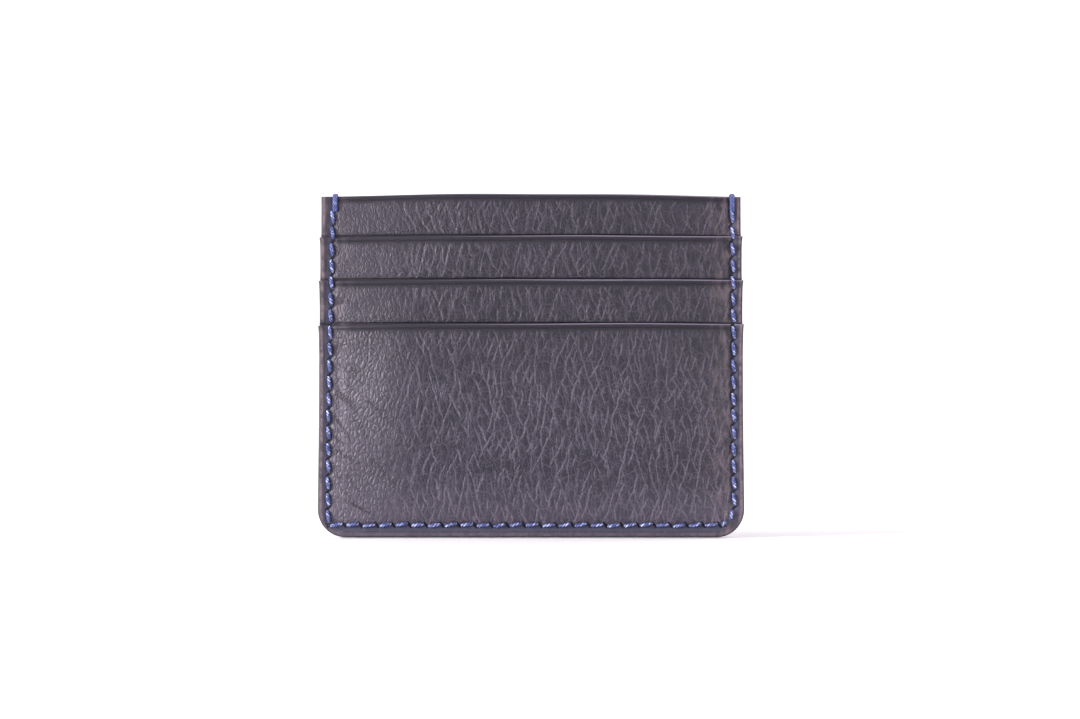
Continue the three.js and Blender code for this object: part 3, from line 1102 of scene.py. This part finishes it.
def stitch_path(start, end, side):
    """Points of one stitch from hole to hole, over the leather and down into both holes."""
    points = []
    for t in [i / 16 for i in range(17)]:
        x = start[0] + (end[0] - start[0]) * t
        z = start[1] + (end[1] - start[1]) * t
        dive = 1.0 - min(1.0, math.sin(math.pi * t) * 2.4)
        reach = 0.5 if 0.15 < t < 0.85 else 0.0
        base = max(outer_depth(x, z + reach), outer_depth(x, z - reach))
        depth = base - 0.2 + STITCH_LIFT * (1.0 - dive ** 2) - 0.55 * dive ** 2
        points.append((x, side * depth, z))
    points = np.array(points)
    for _ in range(2):
        y = points[:, 1]
        points[1:-1, 1] = 0.25 * y[:-2] + 0.5 * y[1:-1] + 0.25 * y[2:]
    return points


def add_stitch(mesh, start, end, side, rng):
    points = stitch_path(start, end, side)
    plump = 0.5 + 0.5 * np.sin(np.pi * np.linspace(0, 1, len(points))) ** 0.45
    widths = THREAD_RADIUS * plump * rng.uniform(0.94, 1.06)
    heights = THREAD_RADIUS * 0.8 * plump
    phase = rng.uniform(0, 2 * math.pi)
    for ply in range(PLIES):
        rings = sweep(points, widths, heights, (0, side, 0), 2.3, phase, ply)
        mesh.add(rings, 0.15 if ply % 2 else rng.uniform(0.6, 1.0))


def seam_on_face(mesh, side, seed):
    """Every stitch on one face, pushed a little outwards. The back is the front's mirror."""
    rng = random.Random(seed)
    holes = LEFT_HOLES + BOTTOM_HOLES + RIGHT_HOLES
    for (x0, z0), (x1, z1) in zip(holes[:-1], holes[1:]):
        length = math.hypot(x1 - x0, z1 - z0)
        ux, uz = (x1 - x0) / length, (z1 - z0) / length
        wander = rng.uniform(-0.05, 0.05)
        first, last = STITCH_PUSH + wander, STITCH_PUSH - wander
        start = (-side * (x0 + ux * HOLE_GAP - uz * first), z0 + uz * HOLE_GAP + ux * first)
        end = (-side * (x1 - ux * HOLE_GAP + uz * last), z1 - uz * HOLE_GAP - ux * last)
        add_stitch(mesh, start, end, side, rng)


def wrap_over_top(mesh, x, rng):
    """A strand that binds the top corner, from a hole in the front over to one in the back."""
    low = HEIGHT - 4.0
    top = HEIGHT - TOP_BOW * (x / HALF_WIDTH) ** 2
    depth = outer_depth(x, HEIGHT - 0.2)
    stand = 0.26
    up_front = [(-depth + 0.5, low - 0.1), (-depth - 0.1, low + 0.15)]
    up_front += [(-depth - stand, low + 0.5 + (top - 0.35 - low - 0.5) * i / 8) for i in range(9)]
    over = []
    for a in [math.pi * i / 6 for i in range(1, 6)]:
        over.append((-(depth + stand) * math.cos(a), top - 0.2 + (0.2 + stand + 0.1) * math.sin(a)))
    down_back = [(-y, z) for y, z in reversed(up_front)]
    points = np.array([(x, y, z) for y, z in up_front + over + down_back])
    up = points - np.array([x, 0.0, top - 1.2])
    up[:, 0] = 0.0
    on_face = np.abs(points[:, 2] - low) < (top - low) - 0.2
    up[on_face, 1] = np.sign(points[on_face, 1])
    up[on_face, 2] = 0.0
    up /= np.linalg.norm(up, axis=1)[:, None]
    widths = np.full(len(points), 0.4)
    heights = np.full(len(points), 0.34)
    phase = rng.uniform(0, ANY_PHASE)
    for ply in range(PLIES):
        mesh.add(sweep(points, widths, heights, up, 2.6, phase, ply), 0.3 if ply % 2 else 0.1)


def perimeter_stitching(material):
    mesh = ThreadMesh()
    seam_on_face(mesh, -1, 21)
    seam_on_face(mesh, 1, 22)
    rng = random.Random(23)
    for side in (-1, 1):
        x = float(seam_x(side, HEIGHT)) + (0.55 if side < 0 else -0.05)
        wrap_over_top(mesh, x - 0.22, rng)
        wrap_over_top(mesh, x + 0.22, rng)
    return finish_piece(mesh.object("perimeter_stitching", material), "perimeter_thread")


def foot_seam(label, side, layer, material, seed):
    """The hidden row of small stitches that closes the foot of a T pocket."""
    rng = random.Random(seed)
    mesh = ThreadMesh()
    reach = STEM_HALF_WIDTH - 2.4
    count = int(round(2 * reach / 3.0))
    steps = np.linspace(0, 1, 7)
    zs = np.full(7, layer.foot + 1.5)
    half = np.full(7, 0.2)
    rise = 0.12 * np.sin(np.pi * steps) ** 0.5
    for i in range(count):
        x0 = -reach + 2 * reach * i / count
        x1 = -reach + 2 * reach * (i + 1) / count
        xs = x0 + 0.2 + (x1 - x0 - 0.4) * steps
        depth = stack_depths(xs, zs)[layer.name][1]
        points = np.stack([xs, side * (depth - 0.02 + rise), zs], axis=1)
        for ply in (0, 1):
            phase = rng.uniform(0, ANY_PHASE)
            rings = sweep(points, half, half * 0.8, (0, side, 0), 1.4, phase, ply * 2)
            mesh.add(rings, ply * 0.5)
    piece = mesh.object(f"{label}_{layer.name}_foot_stitching", material)
    return finish_piece(piece, f"{label}_{layer.name}_foot_seam")


# ---- stage, lights and camera ----

STAGE_COLOUR = srgb(232, 230, 231)
STAGE_GLOW = srgb(246, 243, 248)
STAGE_DROP = 0.0002
WORLD_COLOUR = srgb(245, 243, 250)
WORLD_STRENGTH = 0.3


def studio_bowl():
    """A round pale floor that curves up into a wall on every side, in metres."""
    floor_radius, fillet, wall, around = 1.5, 0.8, 1.2, 64
    profile = [(0.3, 0.0), (0.8, 0.0), (floor_radius, 0.0)]
    for a in [math.pi / 2 * i / 12 for i in range(1, 13)]:
        profile.append((floor_radius + fillet * math.sin(a), fillet * (1 - math.cos(a))))
    profile.append((floor_radius + fillet, fillet + wall))
    vertices = [(0.0, 0.0, 0.0)]
    for radius, z in profile:
        for a in [2 * math.pi * k / around for k in range(around)]:
            vertices.append((radius * math.cos(a), radius * math.sin(a), z))
    following = [(k, (k + 1) % around) for k in range(around)]
    faces = [(0, 1 + k, 1 + n) for k, n in following]
    for ring in range(len(profile) - 1):
        low = 1 + ring * around
        high = low + around
        faces += [(low + k, high + k, high + n, low + n) for k, n in following]
    mesh = bpy.data.meshes.new("studio_bowl")
    mesh.from_pydata(vertices, [], faces)
    mesh.shade_smooth()
    mesh.materials.append(stage_material())
    bowl = linked("studio_bowl", mesh)
    bowl.location.z = -STAGE_DROP


def stage_material():
    """Matt and pale, with a glow that grows away from the middle, so that no horizon shows."""
    material, graph, shader = new_material("pale_stage")
    shader.inputs["Base Color"].default_value = STAGE_COLOUR
    shader.inputs["Roughness"].default_value = 0.9
    shader.inputs["Specular IOR Level"].default_value = 0.1
    shader.inputs["Emission Color"].default_value = STAGE_GLOW
    x, y, _ = graph.split(graph.position())
    squares = graph.plus(graph.math("POWER", x, 2.0), graph.math("POWER", y, 2.0))
    glow = graph.span(graph.math("SQRT", squares), 0.3, 1.9, 0.0, 0.4)
    graph.plug(shader, "Emission Strength", glow)
    return material


def linked(name, data):
    """A new object in the scene."""
    made = bpy.data.objects.new(name, data)
    bpy.context.scene.collection.objects.link(made)
    return made


def look_rotation(direction):
    return Vector(direction).to_track_quat("-Z", "Y").to_euler()


def area_light(name, watts, size, place, color, target=(0.0, 0.0, HEIGHT / 2 * MM)):
    """A rectangular lamp at a place in metres, turned to its target."""
    data = bpy.data.lights.new(name, "AREA")
    data.shape = "RECTANGLE"
    data.size, data.size_y = size
    data.energy = watts
    data.color = color
    light = linked(name, data)
    light.location = place
    light.rotation_euler = look_rotation([t - p for t, p in zip(target, place)])


def lights():
    """A low key light from the left rakes the grain, and the others fill in."""
    area_light("key", 25.0, (0.45, 0.75), (-0.85, -0.39, 0.24), (1.0, 0.962, 1.0))
    area_light("fill", 3.0, (0.4, 0.4), (0.8, -0.42, 0.2), (0.98, 0.98, 1.0))
    area_light("top", 3.2, (1.2, 1.2), (0.0, 0.1, 1.1), (1.0, 1.0, 1.0))
    area_light("rear", 7.0, (0.6, 0.6), (0.7, 0.6, 0.4), (1.0, 0.98, 1.0))
    area_light("backdrop", 4.0, (2.6, 0.5), (0.0, 0.9, 1.0), (0.99, 0.98, 1.0), (0.0, 1.9, 0.0))
    world = bpy.data.worlds.new("studio")
    world.use_nodes = True
    background = world.node_tree.nodes["Background"]
    background.inputs[0].default_value = WORLD_COLOUR
    background.inputs[1].default_value = WORLD_STRENGTH
    bpy.context.scene.world = world


def camera():
    """The photo's view. It looks up a little, which stands for the holder's lean in the photo."""
    distance = 0.494
    elevation = math.radians(-2.0)
    height = HEIGHT / 2 * MM
    data = bpy.data.cameras.new("camera")
    data.lens = 70.0
    data.sensor_width = 36.0
    data.shift_x = 0.0083
    data.shift_y = 0.0056
    data.clip_start = 0.01
    made = linked("camera", data)
    made.location = (0.0, -distance * math.cos(elevation), height + distance * math.sin(elevation))
    made.rotation_euler = look_rotation((0.0, math.cos(elevation), -math.sin(elevation)))
    bpy.context.scene.camera = made


# ---- assembly ----

def build():
    bpy.context.scene.view_settings.view_transform = "Standard"
    camera()
    lights()
    studio_bowl()
    leather = [leather_material(), edge_paint_material(), flesh_material()]
    cloth = cloth_material()
    thread = thread_material()
    front_strokes = crease_strokes(5, 18, (-46.4, -37.0, 7.0, 42.0))
    back_strokes = crease_strokes(7, 9, (-46.4, -38.0, 7.0, 36.0))
    lining, *leather_layers = LAYERS
    for label, side, strokes in (("front", -1, front_strokes), ("back", 1, back_strokes)):
        for layer in leather_layers:
            step = LOWER_STEP if layer.name == "lower_pocket" else BAND_STEP
            leather_sheet(label, side, layer, leather, strokes, step)
        lining_sheet(label, side, lining, cloth)
        for number, layer in enumerate(item for item in LAYERS if item.is_t):
            foot_seam(label, side, layer, thread, 31 + number)
    perimeter_stitching(thread)


build()
